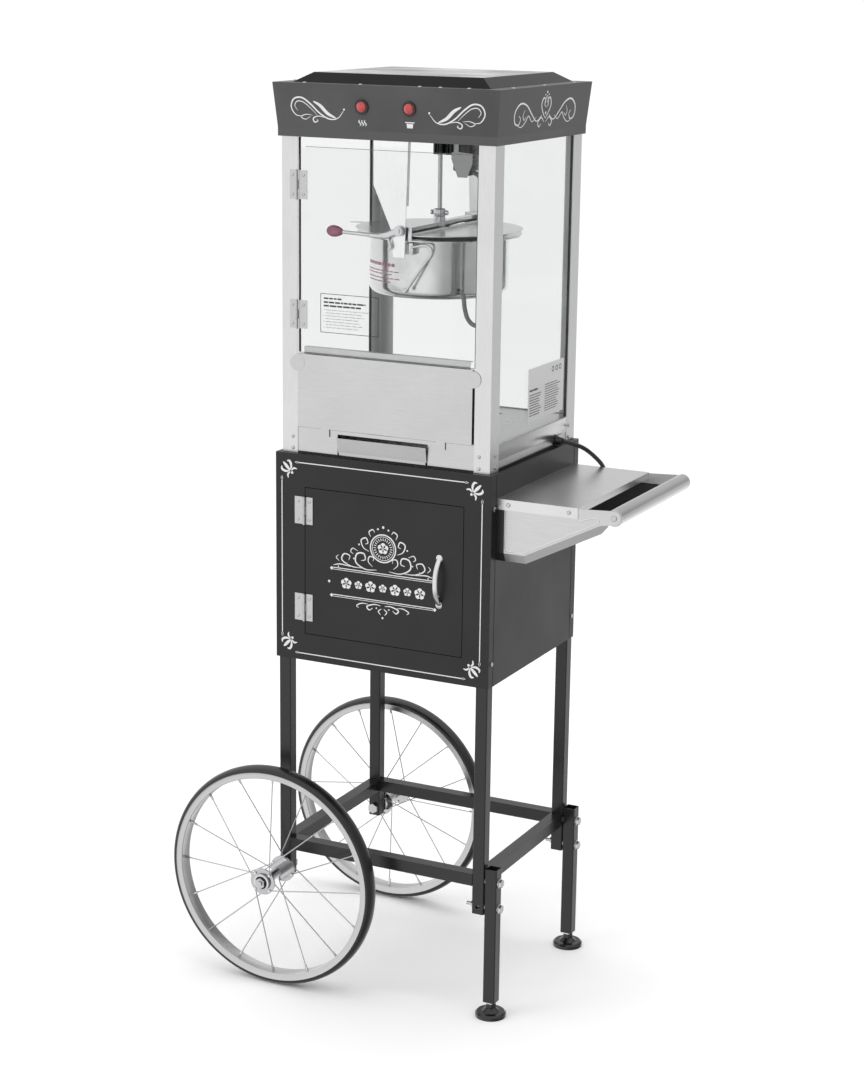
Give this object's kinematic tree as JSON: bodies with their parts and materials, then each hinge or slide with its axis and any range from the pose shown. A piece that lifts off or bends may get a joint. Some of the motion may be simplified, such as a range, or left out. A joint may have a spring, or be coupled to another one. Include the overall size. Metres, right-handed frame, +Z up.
{
  "type": "popcorn machine cart",
  "caption": "Glazed popcorn machine with a tilting stirred kettle, on a wheeled cart with a cupboard, a fold-edged side shelf and levelling feet.",
  "frame": {"origin": "on the floor, under the middle of the cart's bounding box without the power cord", "axes": "+Z up; -Y towards the front with the doors; +X towards the side shelf"},
  "size_m": [0.819, 0.55, 1.601],
  "materials": {
    "black_coat": "satin black powder coat",
    "valance_coat": "satin dark grey coat",
    "stainless": "brushed stainless steel",
    "polished": "polished steel",
    "zinc": "bright zinc plate",
    "rim_silver": "silver",
    "tyre_rubber": "solid black rubber",
    "foot_black": "black nylon over a steel stud",
    "gear_black": "black nylon",
    "clear_pane": "clear",
    "button_red": "translucent red",
    "bezel_black": "gloss black",
    "kettle_steel": "polished stainless steel",
    "handle_set": "steel rods with a maroon knob",
    "socket_black": "black, under a steel guard",
    "cord_black": "black cable jacket"
  },
  "bodies": {
    "cart": {"button_bezels": "bezel_black", "case_screws": "zinc", "ceiling_plate": "stainless", "cord_bush": "cord_black", "cord_coil": "cord_black", "cord_tie": "cord_black", "corner_posts": "stainless", "cross_rails": "black_coat", "cupboard_back": "black_coat", "cupboard_floor": "black_coat", "cupboard_front": "black_coat", "cupboard_sides": "black_coat", "cupboard_top": "black_coat", "door_rail": "stainless", "fixed_hinge_leaves": "polished", "frame_bolts": "zinc", "front_left_leg": "black_coat", "front_right_leg": "black_coat", "gearmotor": "zinc", "kettle_hangers": "stainless", "kettle_socket": "socket_black", "leg_extensions": "black_coat", "machine_base": "stainless", "mains_plug": "cord_black", "popcorn_floor": "stainless", "power_cord": "cord_black", "push_handle": "stainless", "rear_left_leg": "black_coat", "rear_right_leg": "black_coat", "rear_window": "clear_pane", "roof_cover": "valance_coat", "shelf_brackets": "stainless", "shelf_plate": "stainless", "side_rails": "black_coat", "side_windows": "clear_pane", "valance": "valance_coat"},
    "front_wheel": {"front_wheel_tyre": "tyre_rubber", "front_wheel_rim": "rim_silver", "front_wheel_hub": "zinc"},
    "rear_wheel": {"rear_wheel_tyre": "tyre_rubber", "rear_wheel_rim": "rim_silver", "rear_wheel_hub": "zinc"},
    "front_foot": {"front_foot": "foot_black"},
    "rear_foot": {"rear_foot": "foot_black"},
    "cupboard_door": {"cupboard_door": "black_coat", "cupboard_handle": "polished", "cupboard_hinge_leaves": "polished"},
    "machine_door": {"machine_door": "clear_pane", "door_hinge_leaves": "polished"},
    "baffle": {"baffle": "stainless"},
    "crumb_drawer": {"crumb_drawer": "stainless"},
    "warm_button": {"warm_button": "button_red"},
    "kettle_button": {"kettle_button": "button_red"},
    "kettle": {"kettle_pot": "kettle_steel", "kettle_crossbar": "kettle_steel", "kettle_handles": "handle_set"},
    "stirrer": {"stirrer": "kettle_steel"},
    "drive_gear": {"drive_gear": "gear_black"},
    "left_lid": {"left_lid": "kettle_steel"},
    "right_lid": {"right_lid": "kettle_steel"}
  },
  "joints": [
    {"name": "front_wheel_spin", "type": "hinge", "parent": "cart", "child": "front_wheel", "pos_m": [-0.2065, -0.225, 0.203], "axis": [0, 1, 0], "continuous": true},
    {"name": "rear_wheel_spin", "type": "hinge", "parent": "cart", "child": "rear_wheel", "pos_m": [-0.2065, 0.225, 0.203], "axis": [0, 1, 0], "continuous": true},
    {"name": "front_foot_height", "type": "slide", "parent": "cart", "child": "front_foot", "axis": [0, 0, -1], "range_m": [0, 0.015]},
    {"name": "rear_foot_height", "type": "slide", "parent": "cart", "child": "rear_foot", "axis": [0, 0, -1], "range_m": [0, 0.015]},
    {"name": "cupboard_door_swing", "type": "hinge", "parent": "cart", "child": "cupboard_door", "pos_m": [-0.1657, -0.1846, 0.775], "axis": [0, 0, -1], "range_deg": [0, 150]},
    {"name": "machine_door_swing", "type": "hinge", "parent": "cart", "child": "machine_door", "pos_m": [-0.1842, -0.1758, 1.31], "axis": [0, 0, -1], "range_deg": [0, 160]},
    {"name": "baffle_lift", "type": "slide", "parent": "cart", "child": "baffle", "axis": [0, 0, 1], "range_m": [0, 0.02]},
    {"name": "crumb_drawer_slide", "type": "slide", "parent": "cart", "child": "crumb_drawer", "axis": [0, -1, 0], "range_m": [0, 0.25]},
    {"name": "warm_button_press", "type": "slide", "parent": "cart", "child": "warm_button", "axis": [0, 0.9959, 0.0902], "range_m": [0, 0.003], "stiffness_N_per_m": 400},
    {"name": "kettle_button_press", "type": "slide", "parent": "cart", "child": "kettle_button", "axis": [0, 0.9959, 0.0902], "range_m": [0, 0.003], "stiffness_N_per_m": 400},
    {"name": "kettle_tilt", "type": "hinge", "parent": "cart", "child": "kettle", "pos_m": [-0.0045, 0, 1.349], "axis": [0, 1, 0], "range_deg": [-72, 0]},
    {"name": "stirrer_spin", "type": "hinge", "parent": "kettle", "child": "stirrer", "pos_m": [-0.0045, 0, 1.4], "axis": [0, 0, 1], "continuous": true},
    {"name": "drive_gear_spin", "type": "hinge", "parent": "cart", "child": "drive_gear", "pos_m": [0.017, 0, 1.48], "axis": [0, 0, 1], "continuous": true},
    {"name": "left_lid_swing", "type": "hinge", "parent": "kettle", "child": "left_lid", "pos_m": [-0.0185, 0, 1.341], "axis": [0, 1, 0], "range_deg": [0, 80]},
    {"name": "right_lid_swing", "type": "hinge", "parent": "kettle", "child": "right_lid", "pos_m": [0.0095, 0, 1.341], "axis": [0, -1, 0], "range_deg": [0, 70]}
  ],
  "couplings": [
    {"joint": "drive_gear_spin", "follows": "stirrer_spin", "ratio": -1}
  ]
}
